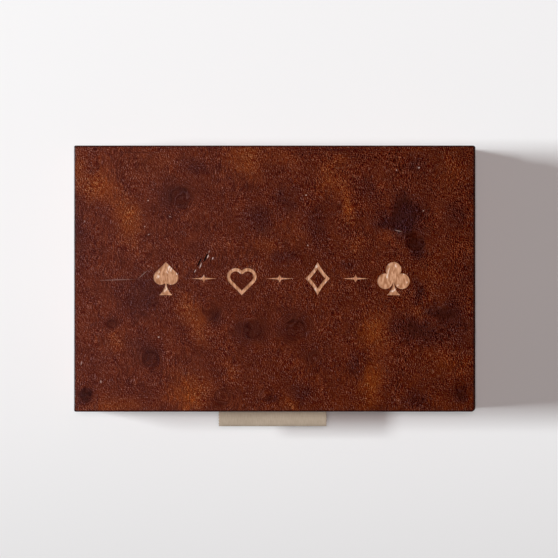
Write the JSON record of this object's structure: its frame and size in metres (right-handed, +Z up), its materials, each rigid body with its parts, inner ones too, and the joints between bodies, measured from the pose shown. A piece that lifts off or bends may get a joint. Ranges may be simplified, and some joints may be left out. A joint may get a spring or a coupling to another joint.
{
  "type": "playing card box",
  "caption": "Hinged veneered wooden box that holds decks of playing cards side by side, with a ribbon tab to lift the lid.",
  "frame": {"origin": "middle of the felt that the box stands on", "axes": "+X to the right along the long side, +Y from the ribbon side to the hinge side, +Z up"},
  "size_m": [0.164, 0.1153, 0.032],
  "materials": {
    "burl_veneer": "satin lacquer over stained burl veneer",
    "stained_hardwood": "dark stain, thin satin lacquer",
    "suede_lining": "taupe microsuede",
    "grosgrain_ribbon": "taupe ribbed ribbon",
    "underside_felt": "dense dark brown felt",
    "hinge_brass": "brushed, slightly aged",
    "nickel": "bright nickel plate"
  },
  "bodies": {
    "base": {"base_front_wall": "stained_hardwood", "base_back_wall": "stained_hardwood", "base_left_wall": "stained_hardwood", "base_right_wall": "stained_hardwood", "base_bottom_panel": "stained_hardwood", "base_front_veneer": "burl_veneer", "base_back_veneer": "burl_veneer", "base_left_veneer": "burl_veneer", "base_right_veneer": "burl_veneer", "deck_divider": "stained_hardwood", "left_floor_pad": "suede_lining", "right_floor_pad": "suede_lining", "left_deck_front_lining": "suede_lining", "left_deck_back_lining": "suede_lining", "left_deck_side_lining": "suede_lining", "right_deck_front_lining": "suede_lining", "right_deck_back_lining": "suede_lining", "right_deck_side_lining": "suede_lining", "base_underside_felt": "underside_felt", "base_left_magnet": "nickel", "base_right_magnet": "nickel", "left_hinge_base_leaf": "hinge_brass", "right_hinge_base_leaf": "hinge_brass", "left_hinge_pin": "hinge_brass", "right_hinge_pin": "hinge_brass", "left_hinge_base_screws": "hinge_brass", "right_hinge_base_screws": "hinge_brass"},
    "lid": {"lid_front_rail": "stained_hardwood", "lid_back_rail": "stained_hardwood", "lid_left_rail": "stained_hardwood", "lid_right_rail": "stained_hardwood", "lid_top_panel": "stained_hardwood", "lid_top_veneer": "burl_veneer", "lid_front_veneer": "burl_veneer", "lid_back_veneer": "burl_veneer", "lid_left_veneer": "burl_veneer", "lid_right_veneer": "burl_veneer", "lid_ceiling_pad": "suede_lining", "ribbon_pull": "grosgrain_ribbon", "lid_left_magnet": "nickel", "lid_right_magnet": "nickel", "left_hinge_lid_leaf": "hinge_brass", "right_hinge_lid_leaf": "hinge_brass", "left_hinge_lid_screws": "hinge_brass", "right_hinge_lid_screws": "hinge_brass"}
  },
  "joints": [
    {"name": "lid_hinge", "type": "hinge", "parent": "base", "child": "lid", "pos_m": [0, 0.0522, 0.02015], "axis": [-1, 0, 0], "range_deg": [0, 95]}
  ]
}
